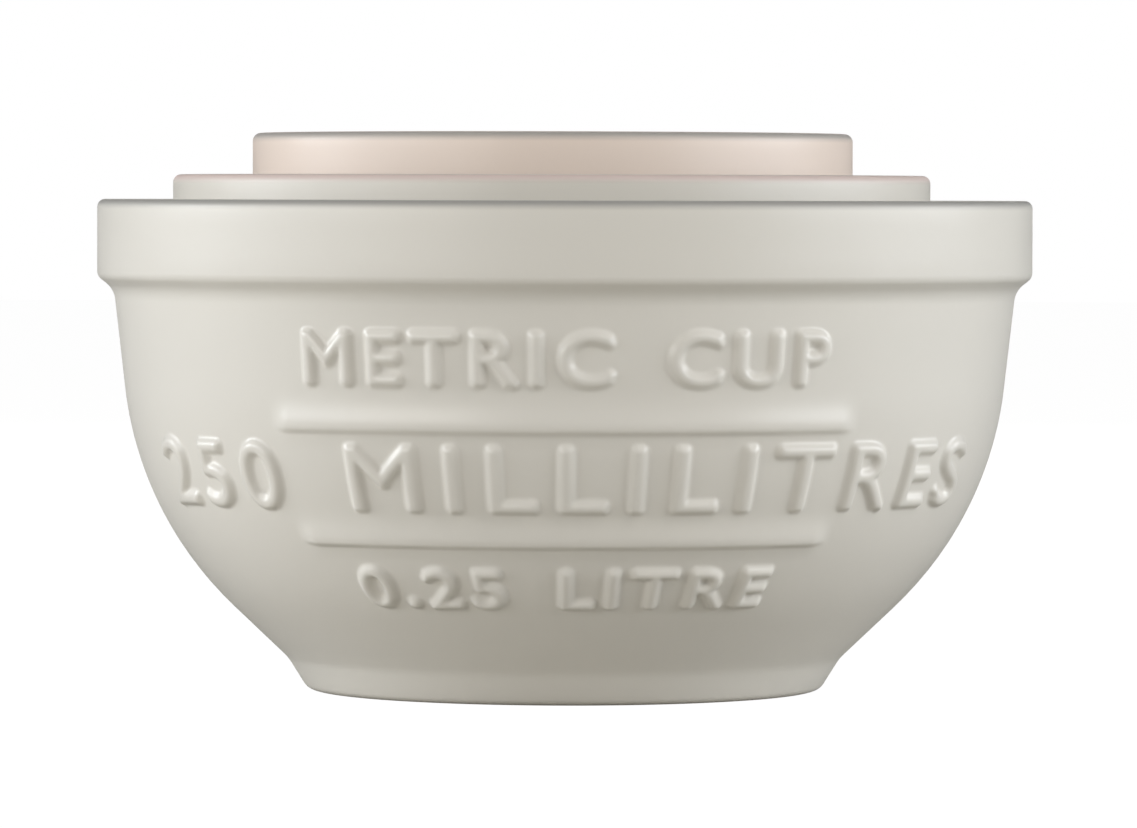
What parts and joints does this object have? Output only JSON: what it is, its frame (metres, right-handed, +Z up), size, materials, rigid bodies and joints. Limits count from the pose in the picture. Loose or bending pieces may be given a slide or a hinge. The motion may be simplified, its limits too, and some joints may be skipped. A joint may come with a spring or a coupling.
{
  "type": "measuring cup set",
  "caption": "Nesting stoneware measuring cups with raised collars, curved bellies and hollow feet; each smaller cup stands inside the next and lifts out.",
  "frame": {"origin": "on the table, at the axis of the large cup", "axes": "+Z up along the axis of the large cup; the raised rules face -Y; +X to the right seen from the front"},
  "size_m": [0.106, 0.106, 0.063],
  "materials": {
    "cream_glaze": "glossy",
    "grey_cream_glaze": "glossy",
    "blush_glaze": "glossy"
  },
  "bodies": {
    "large_cup": {"large_cup": "cream_glaze"},
    "medium_cup": {"medium_cup": "grey_cream_glaze"},
    "small_cup": {"small_cup": "blush_glaze"}
  },
  "joints": [
    {"name": "medium_lift", "type": "slide", "parent": "large_cup", "child": "medium_cup", "axis": [0, 0, 1], "range_m": [0, 0.05]},
    {"name": "small_lift", "type": "slide", "parent": "medium_cup", "child": "small_cup", "axis": [0, 0, 1], "range_m": [0, 0.04]}
  ]
}
